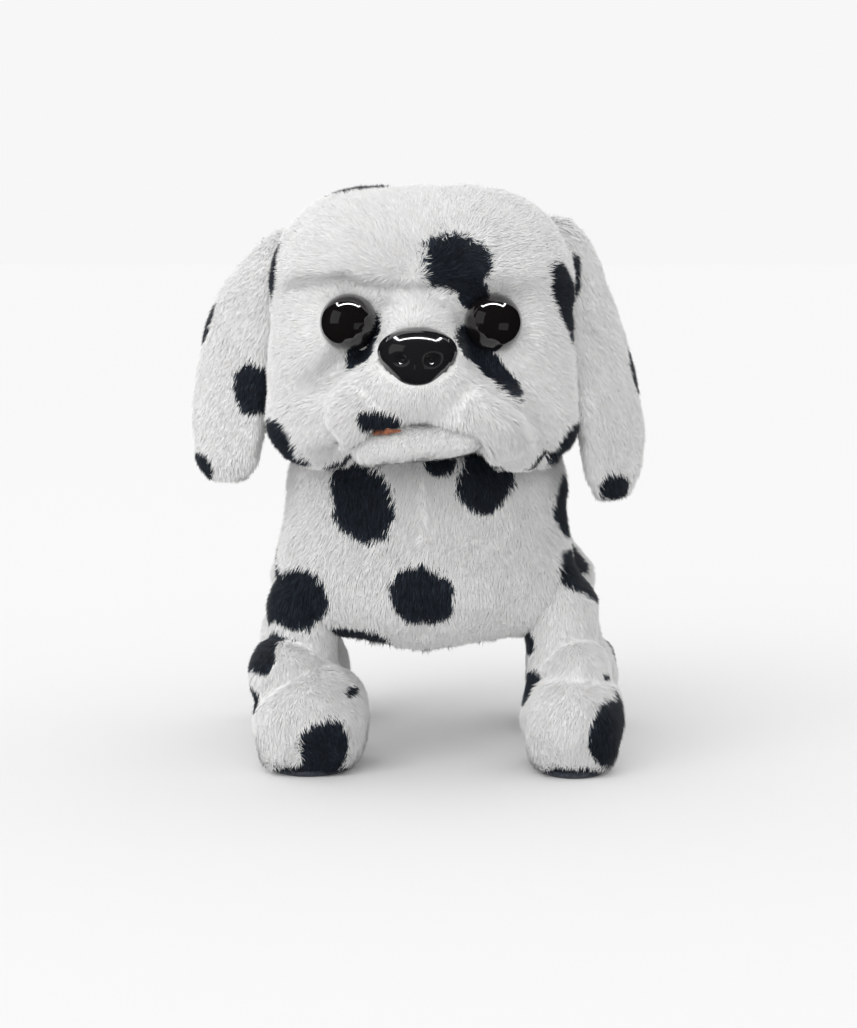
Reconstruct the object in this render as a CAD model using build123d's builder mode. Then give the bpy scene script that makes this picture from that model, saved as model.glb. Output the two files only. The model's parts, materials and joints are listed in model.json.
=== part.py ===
from build123d import *
from math import acos, cos, degrees, hypot, pi, radians, sin, tan
import os

# Interactive plush puppy: a motor-driven walking frame inside a fur-fabric skin.
# Millimetres. +Z is up, the face looks along -Y, +X is the puppy's own left.
# The origin is on the floor, under the middle of the whole puppy.

# ---- driving dimensions ------------------------------------------------------
running = 0.05            # radial clearance of a turning pin
skin_gap = 1.0            # clearance between fur-fabric pieces that move apart

hip_z = 60.0
front_hip_y = -30.0
rear_hip_y = 42.0
foot_x = 38.5             # middle of each foot, left and right of the centre plane
body_half_width = 44.0

housing_half = 24.0       # half the width of the drive housing
wall = 2.0
housing_outline = [(-42, 44), (54, 44), (54, 96), (0, 96), (-8, 84), (-20, 76), (-42, 76)]

nod_y, nod_z = -32.0, 112.0          # axis of the nodding neck
neck_ball = 34.0                     # radius of the head skin round the neck
head_y, head_z = -45.0, 134.0        # middle of the head
head_half_x, head_radius = 45.5, 38.0
skull_y, skull_z = -46.0, 133.0
skull_half_x, skull_radius = 36.0, 30.0
muzzle_y, muzzle_z = -72.0, 113.0
muzzle_half_x, muzzle_radius = 33.0, 19.0

eye_x, eye_y, eye_z = 20.9, -74.0, 132.0
eye_radius = 8.0
eye_back_y = -71.0
nose_y, nose_z = -85.0, 122.5
nose_half_x, nose_radius = 11.3, 8.7
nose_back_y = -80.0

jaw_y, jaw_z = -52.0, 101.0          # axis of the lower jaw
jaw_half_x, jaw_pin_radius = 17.5, 1.2
jaw_plate_low, jaw_plate_high = 98.4, 100.2
tail_y, tail_z = 58.5, 85.0          # the tail's upright pin

crank_y, crank_z = 6.0, 74.0
crank_throw = 6.0
gear_module = 0.6
crank_teeth, idler_teeth, pinion_teeth = 34, 24, 10
gear_x, gear_width = 7.0, 4.0
idler_angle, pinion_angle = 25.0, -30.0
shaft_radius = 2.0
hip_pin_radius = 2.0

front_lever_x, rear_lever_x = 33.0, 35.4     # inner face of each lever plate
lever_thickness, lever_width = 2.0, 9.0
pin_slot_length, pin_slot_width = 11.0, 3.5  # the slot that a crank pin slides in
hub_inner_x, hub_outer_x = 33.0, 37.6
pin_head_x = 38.0
strut_top_radius = 23.0              # radius about the hip where the leg skin starts

cell_radius, cell_length = 7.1, 50.5
cell_x, cell_z = 7.4, 52.4

os.makedirs("parts", exist_ok=True)


def save(builder, name):
    builder.part.label = name
    export_step(builder.part, f"parts/{name}.step")


def along_x(x, y, z):
    """A place whose Z axis points along +X."""
    return Location((x, y, z), (0, 90, 0))


def along_y(x, y, z):
    """A place whose Z axis points along -Y, towards the front."""
    return Location((x, y, z), (90, 0, 0))


def rod_x(y, z, x_low, x_high, radius, mode=Mode.ADD):
    """A round bar or hole along X, in the part that is being built."""
    with Locations(along_x((x_low + x_high) / 2, y, z)):
        Cylinder(radius, x_high - x_low, mode=mode)


def rod_y(x, z, y_low, y_high, radius, mode=Mode.ADD):
    with Locations(along_y(x, (y_low + y_high) / 2, z)):
        Cylinder(radius, y_high - y_low, mode=mode)


def rod_z(x, y, z_low, z_high, radius, mode=Mode.ADD):
    with Locations((x, y, (z_low + z_high) / 2)):
        Cylinder(radius, z_high - z_low, mode=mode)


def block(x_range, y_range, z_range, mode=Mode.ADD):
    """A box between two corners, in the part that is being built."""
    middle = [(low + high) / 2 for low, high in (x_range, y_range, z_range)]
    size = [abs(high - low) for low, high in (x_range, y_range, z_range)]
    with Locations(tuple(middle)):
        Box(*size, mode=mode)


def span(side, near, far):
    """The X range from near to far on one side of the centre plane."""
    return (side * near, side * far)


def rugby_ball(y, z, half_x, radius, seam_turn=90):
    """A ball at (0, y, z) stretched along X; its surface seam faces the back, or the front at -90."""
    with BuildPart() as ball:
        Sphere(radius, rotation=(0, 0, seam_turn))
        scale(by=(half_x / radius, 1, 1))
    return ball.part.moved(Location((0, y, z)))


# ---- gears -------------------------------------------------------------------
pressure_angle = radians(20)
backlash = 0.10


def involute(angle):
    return tan(angle) - angle


def gear_outline(teeth, phase):
    """Corner points of an involute spur gear whose first tooth points at phase (radians)."""
    pitch = gear_module * teeth / 2
    base = pitch * cos(pressure_angle)
    root = pitch - 1.25 * gear_module
    tip = pitch + 0.85 * gear_module
    half_tooth = pi / (2 * teeth) - backlash / (2 * pitch) + involute(pressure_angle)
    start = max(base, root)
    steps = 4
    flank = []
    for step in range(steps + 1):
        radius = start + (tip - start) * step / steps
        flank.append((radius, half_tooth - involute(acos(min(1.0, base / radius)))))
    points = []
    for tooth in range(teeth):
        middle = phase + 2 * pi * tooth / teeth
        points.append((root, middle - half_tooth))
        points += [(radius, middle - angle) for radius, angle in flank]
        points += [(radius, middle + angle) for radius, angle in reversed(flank)]
        points.append((root, middle + half_tooth))
    spots = [(radius * cos(angle), radius * sin(angle)) for radius, angle in points]
    clean = [spots[0]]
    for spot in spots[1:]:
        if hypot(spot[0] - clean[-1][0], spot[1] - clean[-1][1]) > 0.01:
            clean.append(spot)
    return clean


def mesh_phase(phase, teeth, direction, mate_teeth):
    """The phase of a mate that meshes with a gear, direction being from gear to mate."""
    pitch_angle = 2 * pi / teeth
    offset = (phase - direction + pitch_angle / 2) % pitch_angle - pitch_angle / 2
    return direction + pi - offset * teeth / mate_teeth + pi / mate_teeth


def spur_gear(y, z, teeth, phase, bore, hub_radius, hole_circle=0.0):
    """A gear with its axis along X through (y, z), with four lightening holes on hole_circle."""
    with BuildPart() as gear:
        with BuildSketch(Plane.YZ.offset(gear_x)):
            with BuildLine():
                Polyline(*[(y + dy, z + dz) for dy, dz in gear_outline(teeth, phase)], close=True)
            make_face()
        extrude(amount=gear_width)
        rod_x(y, z, gear_x + gear_width, gear_x + gear_width + 1.0, hub_radius)
        rod_x(y, z, gear_x - 1, gear_x + gear_width + 2, bore, mode=Mode.SUBTRACT)
        if hole_circle:
            for turn in range(4):
                angle = radians(45 + 90 * turn)
                hole_y, hole_z = y + hole_circle * cos(angle), z + hole_circle * sin(angle)
                rod_x(hole_y, hole_z, gear_x - 1, gear_x + gear_width + 2, 1.8, mode=Mode.SUBTRACT)
    return gear


idler_distance = gear_module * (crank_teeth + idler_teeth) / 2
pinion_distance = gear_module * (idler_teeth + pinion_teeth) / 2
idler_y = crank_y + idler_distance * cos(radians(idler_angle))
idler_z = crank_z + idler_distance * sin(radians(idler_angle))
motor_y = idler_y + pinion_distance * cos(radians(pinion_angle))
motor_z = idler_z + pinion_distance * sin(radians(pinion_angle))
idler_phase = mesh_phase(0, crank_teeth, radians(idler_angle), idler_teeth)
pinion_phase = mesh_phase(idler_phase, idler_teeth, radians(pinion_angle), pinion_teeth)

# ---- drive housing: two half shells that meet on the centre plane ------------
screw_spots = [(-38.5, 72), (-38.5, 48), (50.5, 92), (50.5, 57), (13, 91.6)]
door_screw_y = 35.5
tower_half_x, tower_half_y = 6.8, 5.0


def housing_half_shell(side, screw_hole):
    """One half of the drive housing: side is +1 for the puppy's left, -1 for its right."""
    with BuildPart() as shell:
        with BuildSketch(Plane.YZ):
            with BuildLine():
                Polyline(*housing_outline, close=True)
            make_face()
        extrude(amount=side * housing_half)
        with BuildSketch(Plane.YZ):
            with BuildLine():
                Polyline(*housing_outline, close=True)
            make_face()
            offset(amount=-wall, kind=Kind.INTERSECTION, mode=Mode.REPLACE)
        extrude(amount=side * (housing_half - wall), mode=Mode.SUBTRACT)
        inner = housing_half - wall
        for y, z in screw_spots:
            rod_x(y, z, *sorted(span(side, 0, inner)), 3.0)
        for hip_y in (front_hip_y, rear_hip_y):
            rod_x(hip_y, hip_z, *sorted(span(side, 20, 32.6)), 4.6)
        rod_x(crank_y, crank_z, *sorted(span(side, 20, 25)), 4.5)
        if side > 0:
            rod_x(idler_y, idler_z, 13, inner, 3.0)
        tower_y = (nod_y - tower_half_y, nod_y + tower_half_y)
        block(sorted(span(side, 0, tower_half_x)), tower_y, (74.5, nod_z))
        rod_x(nod_y, nod_z, *sorted(span(side, 0, tower_half_x)), tower_half_y)
        block(sorted(span(side, 0, 4.5)), (53.5, 61.5), (76.5, 79.6))
        block(sorted(span(side, 0, 4.5)), (53.5, 61.5), (90.4, 93.5))
        rod_z(0, door_screw_y, 44, 53, 3.2)
        # holes
        for y, z in screw_spots:
            rod_x(y, z, *sorted(span(side, -1, housing_half + 1)), screw_hole, Mode.SUBTRACT)
            if side > 0:
                rod_x(y, z, housing_half - 1.6, housing_half + 1, 2.7, Mode.SUBTRACT)
        for hip_y in (front_hip_y, rear_hip_y):
            rod_x(hip_y, hip_z, *sorted(span(side, 21, 40)), hip_pin_radius, Mode.SUBTRACT)
        rod_x(crank_y, crank_z, *sorted(span(side, 19, 30)), shaft_radius + running, Mode.SUBTRACT)
        if side > 0:
            rod_x(idler_y, idler_z, 12, 23, 1.2, Mode.SUBTRACT)
        rod_x(nod_y, nod_z, -8, 8, 1.5, Mode.SUBTRACT)
        rod_z(0, tail_y, 75, 95, 1.5, Mode.SUBTRACT)
        block(sorted(span(side, -1, 17)), (-27.5, 31.5), (43, 47), Mode.SUBTRACT)
        block(sorted(span(side, -1, 1.8)), (40.0, 48.0), (43, 47), Mode.SUBTRACT)
        rod_z(0, door_screw_y, 43, 52, 1.15, Mode.SUBTRACT)
        split(bisect_by=Plane.YZ, keep=Keep.TOP if side > 0 else Keep.BOTTOM)
    return shell


left_housing = housing_half_shell(+1, 1.5)
save(left_housing, "left_housing")
right_housing = housing_half_shell(-1, 1.1)
save(right_housing, "right_housing")

with BuildPart() as housing_screws:
    for y, z in screw_spots:
        rod_x(y, z, -16, housing_half - 1.6, 1.1)
        rod_x(y, z, housing_half - 1.6, housing_half - 0.2, 2.3)
        block((housing_half - 0.9, housing_half), (y - 1.8, y + 1.8), (z - 0.3, z + 0.3), Mode.SUBTRACT)
        block((housing_half - 0.9, housing_half), (y - 0.3, y + 0.3), (z - 1.8, z + 1.8), Mode.SUBTRACT)
save(housing_screws, "housing_screws")

# ---- battery box, cells, contacts and the screwed door under the belly -------
bay_y = (-27.3, 31.3)
with BuildPart() as battery_box:
    block((-16.8, 16.8), bay_y, (44, 62))
    block((-15.6, 15.6), (bay_y[0] + 1.2, bay_y[1] - 1.2), (43, 60.8), Mode.SUBTRACT)
    block((-0.2, 0.2), (-18, 22), (58.5, 61))
save(battery_box, "battery_box")

cell_middle_y = (bay_y[0] + bay_y[1]) / 2
with BuildPart() as battery_cells:
    for side in (-1, 1):
        low, high = cell_middle_y - cell_length / 2, cell_middle_y + cell_length / 2
        rod_y(side * cell_x, cell_z, low + 0.5, high - 1.2, cell_radius)
        rod_y(side * cell_x, cell_z, (high - 1.2) if side > 0 else low, high if side > 0 else low + 0.5, 2.7)
save(battery_cells, "battery_cells")

with BuildPart() as battery_contacts:
    for end in (-1, 1):
        face_y = cell_middle_y + end * ((bay_y[1] - bay_y[0]) / 2 - 1.2)
        block((-13, 13), sorted((face_y, face_y - end * 0.4)), (47, 58))
        for side in (-1, 1):
            reach = face_y - end * 0.4
            tip = cell_middle_y + end * (cell_length / 2 + 0.1)
            rod_y(side * cell_x, cell_z, *sorted((reach, tip)), 2.2)
save(battery_contacts, "battery_contacts")

door_low, door_high = 42.3, 43.9
with BuildPart() as battery_door:
    block((-18, 18), (-29, 33), (door_low, door_high))
    fillet(battery_door.edges().filter_by(Axis.Z), radius=2.0)
    chamfer(battery_door.faces().sort_by(Axis.Z)[0].edges(), length=0.5)
    block((-5, 5), (32, 39.5), (door_low, door_high))
    block((-15, 15), (-25.9, -24.9), (door_high, 46.5))
    for rib in range(5):
        block((-12, 12), (-22 + 3 * rib, -21 + 3 * rib), (door_low - 0.4, door_low))
    rod_z(0, door_screw_y, 42, 44.5, 1.2, Mode.SUBTRACT)
save(battery_door, "battery_door")

with BuildPart() as door_screw:
    rod_z(0, door_screw_y, 40.8, door_low, 2.4)
    rod_z(0, door_screw_y, door_low, 50.5, 1.1)
    block((-1.8, 1.8), (door_screw_y - 0.3, door_screw_y + 0.3), (40.5, 41.6), Mode.SUBTRACT)
    block((-0.3, 0.3), (door_screw_y - 1.8, door_screw_y + 1.8), (40.5, 41.6), Mode.SUBTRACT)
save(door_screw, "door_screw")

# ---- power switch ------------------------------------------------------------
with BuildPart() as switch_body:
    block((-4, 4), (38.9, 49), (46, 50.5))
    block((-1.8, 1.8), (40.0, 48.0), (45.5, 48.6), Mode.SUBTRACT)
save(switch_body, "switch_body")

with BuildPart() as switch_slider:
    block((-1.5, 1.5), (40.4, 43.4), (41.0, 48.3))
    chamfer(switch_slider.faces().sort_by(Axis.Z)[0].edges(), length=0.5)
save(switch_slider, "switch_slider")

# ---- motor, gears and cranks -------------------------------------------------
motor_front_x, motor_back_x = 5.5, -17.0
motor_radius, motor_flat = 10.0, 7.6     # the can's radius, and how far out its two flats are
motor_shaft_radius = 1.0
with BuildPart() as motor:
    rod_x(motor_y, motor_z, motor_back_x, motor_front_x, motor_radius)
    for flat in (sorted((motor_z + up * motor_flat, motor_z + up * 11)) for up in (-1, 1)):
        block((motor_back_x, motor_front_x), (motor_y - 11, motor_y + 11), flat, Mode.SUBTRACT)
    rod_x(motor_y, motor_z, motor_back_x - 1.4, motor_back_x, 3.0)
    rod_x(motor_y, motor_z, motor_back_x + 2, motor_front_x + 1, motor_shaft_radius + running, Mode.SUBTRACT)
save(motor, "motor")

with BuildPart() as motor_shaft:
    rod_x(motor_y, motor_z, motor_back_x + 3, gear_x + gear_width + 1.0, motor_shaft_radius)
save(motor_shaft, "motor_shaft")

motor_pinion = spur_gear(motor_y, motor_z, pinion_teeth, pinion_phase, motor_shaft_radius, 2.1)
save(motor_pinion, "motor_pinion")

idler_gear = spur_gear(idler_y, idler_z, idler_teeth, idler_phase, 1.2 + running, 3.0)
save(idler_gear, "idler_gear")

with BuildPart() as idler_axle:
    rod_x(idler_y, idler_z, gear_x - 0.9, housing_half - wall, 1.2)
    rod_x(idler_y, idler_z, gear_x - 0.9, gear_x - 0.3, 2.0)
save(idler_axle, "idler_axle")

crank_gear = spur_gear(crank_y, crank_z, crank_teeth, 0, shaft_radius, 4.0, hole_circle=6.6)
save(crank_gear, "crank_gear")

with BuildPart() as crank_shaft:
    rod_x(crank_y, crank_z, -28.4, 28.4, shaft_radius)
save(crank_shaft, "crank_shaft")


def crank(side, throw):
    """A crank disc with its pin, which stops just short of the lever plates."""
    with BuildPart() as disc:
        rod_x(crank_y, crank_z, *sorted(span(side, 25.6, 28.4)), 9.0)
        rod_x(crank_y, crank_z, *sorted(span(side, 25.0, 29.0)), shaft_radius, Mode.SUBTRACT)
        rod_x(crank_y, crank_z + throw, *sorted(span(side, 28.4, 32.6)), 1.5)
    return disc


left_crank = crank(+1, crank_throw)
save(left_crank, "left_crank")
right_crank = crank(-1, -crank_throw)
save(right_crank, "right_crank")

# ---- legs --------------------------------------------------------------------
with BuildPart() as hip_pins:
    for side in (-1, 1):
        for hip_y in (front_hip_y, rear_hip_y):
            rod_x(hip_y, hip_z, *sorted(span(side, 21.5, pin_head_x)), hip_pin_radius)
            rod_x(hip_y, hip_z, *sorted(span(side, pin_head_x, pin_head_x + 1.2)), 3.6)
save(hip_pins, "hip_pins")

sole_thickness = 1.6
foot_y_shift = -5.0            # the foot reaches forward of its hip
foot_half_x, foot_half_y = 16.5, 20.0
foot_height = 33.0
strut_x = (33.2, 37.2)         # the flat strut from the hip hub down to the foot plate
plate_x = (34.0, 43.0)
plate_ahead, plate_behind, plate_top = 14.0, 4.0, 12.0


def leg_frame(side, hip_y, lever_inner):
    """A hip hub with its slotted drive lever, the strut down to the foot and the foot plate."""
    reach = hypot(crank_y - hip_y, crank_z - hip_z)
    tilt = degrees(acos((crank_y - hip_y) / reach))
    along_lever = (0, cos(radians(tilt)), sin(radians(tilt)))
    lever_plane = Plane(origin=(side * lever_inner, hip_y, hip_z), x_dir=along_lever, z_dir=(1, 0, 0))
    with BuildPart() as frame:
        rod_x(hip_y, hip_z, *sorted(span(side, hub_inner_x, hub_outer_x)), 5.6)
        with BuildSketch(lever_plane):
            with Locations((reach / 2, 0)):
                SlotCenterToCenter(reach, lever_width)
            with Locations((reach - 0.5, 0)):
                SlotOverall(pin_slot_length + 4.0, lever_width)
                SlotOverall(pin_slot_length, pin_slot_width, mode=Mode.SUBTRACT)
        extrude(amount=side * lever_thickness)
        block(span(side, *strut_x), (hip_y - 4.0, hip_y + 4.0), (plate_top, hip_z))
        block(span(side, *plate_x), (hip_y - plate_ahead, hip_y + plate_behind), (sole_thickness, plate_top))
        rod_x(hip_y, hip_z, *sorted(span(side, 30, 40)), hip_pin_radius + running, Mode.SUBTRACT)
    return frame


def leg_plush(side, hip_y):
    """The stuffed fur sleeve and foot round one leg frame, open at the top round the strut."""
    with BuildPart() as sleeve:
        with BuildSketch(Plane.XY.offset(sole_thickness)):
            with Locations((side * foot_x, hip_y + foot_y_shift)):
                Ellipse(foot_half_x, foot_half_y)
        extrude(amount=foot_height - sole_thickness)
        fillet(sleeve.edges().sort_by(Axis.Z)[-1], radius=13.0)
        fillet(sleeve.edges().sort_by(Axis.Z)[0], radius=4.0)
        with BuildSketch(Plane.XY.offset(14)):
            with Locations((side * foot_x, hip_y)):
                Circle(10.5)
        extrude(amount=28)
        rod_x(hip_y, hip_z, *sorted(span(side, 20, 60)), strut_top_radius, Mode.SUBTRACT)
        block(span(side, 33.0, 37.4), (hip_y - 4.2, hip_y + 4.2), (12, 60), Mode.SUBTRACT)
        plate_y = (hip_y - plate_ahead, hip_y + plate_behind)
        block(span(side, *plate_x), plate_y, (0, plate_top + 0.2), Mode.SUBTRACT)
    return sleeve


def sole_pad(side, hip_y):
    with BuildPart() as pad:
        with BuildSketch(Plane.XY):
            with Locations((side * foot_x, hip_y + foot_y_shift)):
                Ellipse(11.5, 15.5)
        extrude(amount=sole_thickness)
        fillet(pad.edges().sort_by(Axis.Z)[0], radius=0.6)
    return pad


leg_ends = [("front", front_hip_y, front_lever_x), ("rear", rear_hip_y, rear_lever_x)]
for end_name, hip_y, lever_inner in leg_ends:
    for side_name, side in (("left", 1), ("right", -1)):
        save(leg_frame(side, hip_y, lever_inner), f"{end_name}_{side_name}_leg_frame")
        save(leg_plush(side, hip_y), f"{end_name}_{side_name}_leg_plush")
        save(sole_pad(side, hip_y), f"{end_name}_{side_name}_sole")

# ---- sound board -------------------------------------------------------------
speaker_y, speaker_radius = -20.0, 12.5
with BuildPart() as speaker:
    rod_z(0, speaker_y, 62.2, 66.5, 6.5)
    rod_z(0, speaker_y, 66.5, 69.0, speaker_radius)
    with BuildSketch(Plane.XY.offset(69.0)):
        with Locations((0, speaker_y)):
            Circle(speaker_radius)
            Circle(speaker_radius - 1.5, mode=Mode.SUBTRACT)
    extrude(amount=1.0)
save(speaker, "speaker")

with BuildPart() as circuit_board:
    block((-20.8, -19.4), (18, 46), (65.2, 93))
    block((-19.4, -18.0), (24, 32), (88, 92))
    block((-19.4, -18.2), (35, 40), (88, 91.5))
    for pad in range(3):
        rod_x(22 + 4 * pad, 67.5, -19.4, -18.6, 1.0)
save(circuit_board, "circuit_board")

# ---- stuffed body skin -------------------------------------------------------
# (y, half width, bottom, top, corner radius) of upright sections from chest to rump
body_sections = [
    (-46, 22, 50, 84, 10),
    (-42, 35, 43, 93, 16),
    (-30, 42, 39, 99, 22),
    (-8, body_half_width, 38, 106, 28),
    (20, body_half_width, 38, 109, 30),
    (44, 43, 38.5, 106, 30),
    (57, 36, 43, 99, 24),
    (64, 22, 54, 86, 14),
]
haunch_radius = strut_top_radius - skin_gap
lever_pocket = [(-37, 52), (49.5, 52), (49.5, 68), (24, 89), (-10, 89), (-37, 68)]
tail_slot = (79.5, 90.5)

head_clearance = rugby_ball(-42, 134, 51, 45)
with BuildPart() as body_plush:
    for y, half_width, bottom, top, corner in body_sections:
        with BuildSketch(Plane.XZ.offset(-y)):
            with Locations((0, (bottom + top) / 2)):
                RectangleRounded(2 * half_width, top - bottom, corner)
    loft(ruled=True)
    for side in (-1, 1):
        for hip_y in (front_hip_y, rear_hip_y):
            with BuildSketch(Plane.YZ.offset(side * 24)):
                with Locations((hip_y, hip_z)):
                    Circle(haunch_radius)
                with Locations((hip_y, 53)):
                    Rectangle(32, 34, mode=Mode.INTERSECT)
            extrude(amount=side * 22)
            with BuildSketch(Plane.YZ.offset(side * 22)):
                with Locations((hip_y, 41)):
                    Rectangle(36, 12)
                with Locations((hip_y, hip_z)):
                    Circle(haunch_radius, mode=Mode.SUBTRACT)
            extrude(amount=side * 30, mode=Mode.SUBTRACT)
            block(span(side, 32.0, 38.6), (hip_y - 9.4, hip_y + 9.4), (30, hip_z), Mode.SUBTRACT)
        with BuildSketch(Plane.YZ.offset(side * 23)):
            with BuildLine():
                Polyline(*lever_pocket, close=True)
            make_face()
        extrude(amount=side * 16.7, mode=Mode.SUBTRACT)
    with BuildSketch(Plane.YZ.offset(-housing_half - 0.5)):
        with BuildLine():
            Polyline((-43, 43.4), (55, 43.4), (55, 97), (-1, 97), (-10, 86), (-43, 86), close=True)
        make_face()
    extrude(amount=2 * housing_half + 1, mode=Mode.SUBTRACT)
    with Locations((0, nod_y, nod_z)):
        Sphere(neck_ball + skin_gap, mode=Mode.SUBTRACT)
    add(head_clearance, mode=Mode.SUBTRACT)
    block((-19, 19), (-30, 34), (30, 44), Mode.SUBTRACT)
    block((-7, 7), (33, 51), (30, 44), Mode.SUBTRACT)
    block((-7, 7), (54, 62.5), (75.5, 94.5), Mode.SUBTRACT)
    block((-8.5, 8.5), (60, 70), tail_slot, Mode.SUBTRACT)
save(body_plush, "body_plush")

# ---- head shell --------------------------------------------------------------
skull_outer = rugby_ball(skull_y, skull_z, skull_half_x, skull_radius)
skull_inner = rugby_ball(skull_y, skull_z, skull_half_x - wall, skull_radius - wall)
skull_split_y = skull_y + 1.0
head_screw_spots = [(-30.5, 134), (30.5, 134), (0, 157.6)]
lug_x = (14.6, 17.2)
eye_washer_y, nose_washer_y = -64.6, -68.5     # front faces of the locking washers
washer_thickness = 1.2


def skull_half(front):
    """The front or the rear half of the hard head shell."""
    with BuildPart() as shell:
        add(skull_outer)
        add(skull_inner, mode=Mode.SUBTRACT)
        for x, z in head_screw_spots:
            rod_y(x, z, skull_y - 8, skull_y + 8, 3.2)
        if front:
            for side in (-1, 1):
                block(sorted(span(side, *lug_x)), (-55, -49), (98.5, 108.5))
                rod_y(side * eye_x, eye_z, eye_back_y, eye_washer_y, 4.6)
            rod_y(0, nose_z, -71, nose_washer_y, 5.5)
        else:
            block((-10.4, 10.4), (-27, -17.6), (119.2, 122.0))
        block((-12.5, 12.5), (skull_split_y, -14), (98, 118.5), Mode.SUBTRACT)
        block((-12.5, 12.5), (-64, skull_split_y), (98, 108), Mode.SUBTRACT)
        rod_x(jaw_y, jaw_z, -20, 20, jaw_pin_radius, Mode.SUBTRACT)
        for x, z in head_screw_spots:
            rod_y(x, z, skull_y - 9, skull_y + 9, 1.1, Mode.SUBTRACT)
        for side in (-1, 1):
            rod_y(side * eye_x, eye_z, -80, eye_back_y, eye_radius + 0.3, Mode.SUBTRACT)
            rod_y(side * eye_x, eye_z, -80, -60, 1.8, Mode.SUBTRACT)
        rod_y(0, nose_z, -80, -60, 2.0, Mode.SUBTRACT)
        split(bisect_by=Plane.XZ.offset(-skull_split_y), keep=Keep.TOP if front else Keep.BOTTOM)
    return shell


skull_front = skull_half(front=True)
save(skull_front, "skull_front")
skull_rear = skull_half(front=False)
save(skull_rear, "skull_rear")

with BuildPart() as head_screws:
    for x, z in head_screw_spots:
        rod_y(x, z, skull_y - 7, skull_y + 8, 1.1)
        rod_y(x, z, skull_y + 8, skull_y + 9.2, 1.6)
        block((x - 1.7, x + 1.7), (skull_y + 8.6, skull_y + 10), (z - 0.3, z + 0.3), Mode.SUBTRACT)
save(head_screws, "head_screws")

with BuildPart() as neck_yoke:
    block((-10.4, 10.4), (nod_y - 4, -17.9), (122.0, 124.6))
    for side in (-1, 1):
        block(sorted(span(side, 7.4, 10.4)), (nod_y - 4, nod_y + 4), (nod_z, 122.0))
        rod_x(nod_y, nod_z, *sorted(span(side, 7.4, 10.4)), 4.0)
    rod_x(nod_y, nod_z, -12, 12, 1.5 + running, Mode.SUBTRACT)
    add(skull_inner, mode=Mode.INTERSECT)
save(neck_yoke, "neck_yoke")

with BuildPart() as neck_pin:
    rod_x(nod_y, nod_z, -11.2, 11.2, 1.5)
    rod_x(nod_y, nod_z, 11.2, 12.2, 2.4)
    rod_x(nod_y, nod_z, -12.2, -11.2, 2.4)
save(neck_pin, "neck_pin")

# ---- eyes and nose: domes with a shank and a locking washer inside the shell --
for side_name, side in (("left", 1), ("right", -1)):
    with BuildPart() as eye:
        with Locations((side * eye_x, eye_y, eye_z)):
            Sphere(eye_radius)
        split(bisect_by=Plane.XZ.offset(-eye_back_y), keep=Keep.TOP)
        rod_y(side * eye_x, eye_z, eye_back_y, -62.5, 1.8)
    save(eye, f"{side_name}_eye")

with BuildPart() as eye_washers:
    for side in (-1, 1):
        rod_y(side * eye_x, eye_z, eye_washer_y, eye_washer_y + washer_thickness, 4.0)
        rod_y(side * eye_x, eye_z, -67, -60, 1.8, Mode.SUBTRACT)
save(eye_washers, "eye_washers")

nose_ball = rugby_ball(nose_y, nose_z, nose_half_x, nose_radius, seam_turn=-90)
with BuildPart() as nose:
    add(nose_ball)
    split(bisect_by=Plane.XZ.offset(-nose_back_y), keep=Keep.TOP)
    for side in (-1, 1):
        with Locations((side * 3.4, -94.2, nose_z - 0.5)):
            Sphere(2.0, mode=Mode.SUBTRACT)
    rod_y(0, nose_z, nose_back_y, -66, 2.0)
save(nose, "nose")

with BuildPart() as nose_washer:
    rod_y(0, nose_z, nose_washer_y, nose_washer_y + washer_thickness, 4.4)
    rod_y(0, nose_z, -72, -60, 2.0, Mode.SUBTRACT)
save(nose_washer, "nose_washer")

# ---- stuffed head skin -------------------------------------------------------
head_outer = rugby_ball(head_y, head_z, head_half_x, head_radius)
muzzle_outer = rugby_ball(muzzle_y, muzzle_z, muzzle_half_x, muzzle_radius)
skull_hollow = rugby_ball(skull_y, skull_z, skull_half_x + 0.3, skull_radius + 0.3)
nose_hollow = rugby_ball(nose_y, nose_z, nose_half_x + 0.2, nose_radius + 0.2, seam_turn=-90)
mouth_z = 102.6

with BuildPart() as head_plush:
    add(head_outer)
    add(muzzle_outer)
    with Locations(Location((0, nod_y, nod_z), (0, 0, 90))):
        Sphere(neck_ball)
        Sphere(neck_ball - 6, mode=Mode.SUBTRACT)
    add(skull_hollow, mode=Mode.SUBTRACT)
    block((-9.5, 9.5), (nod_y - 14, nod_y + 14), (70, 92), Mode.SUBTRACT)
    block((-18.4, 18.4), (-96, -44), (86, mouth_z), Mode.SUBTRACT)
    block((-18.4, 18.4), (-56, -48), (mouth_z, 109), Mode.SUBTRACT)
    for side in (-1, 1):
        rod_y(side * eye_x, eye_z, -92, -66, eye_radius + 0.2, Mode.SUBTRACT)
        rod_y(side * eye_x, eye_z, -76, -60, 2.0, Mode.SUBTRACT)
    add(nose_hollow, mode=Mode.SUBTRACT)
    rod_y(0, nose_z, -82, -66, 2.2, Mode.SUBTRACT)
save(head_plush, "head_plush")

# ---- lower jaw ---------------------------------------------------------------
with BuildPart() as jaw_pin:
    rod_x(jaw_y, jaw_z, -17.2, 17.2, jaw_pin_radius)
save(jaw_pin, "jaw_pin")

with BuildPart() as jaw_frame:
    for side in (-1, 1):
        rod_x(jaw_y, jaw_z, *sorted(span(side, 10.0, 14.2)), 2.6)
        block(sorted(span(side, 10.0, 14.2)), (-60, jaw_y - 1.0), (jaw_plate_low, jaw_plate_high))
    with BuildSketch(Plane.XY.offset(jaw_plate_low)):
        with Locations((0, -70.5)):
            RectangleRounded(28.4, 24, 8)
    extrude(amount=jaw_plate_high - jaw_plate_low)
    rod_x(jaw_y, jaw_z, -20, 20, jaw_pin_radius + running, Mode.SUBTRACT)
save(jaw_frame, "jaw_frame")

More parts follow.
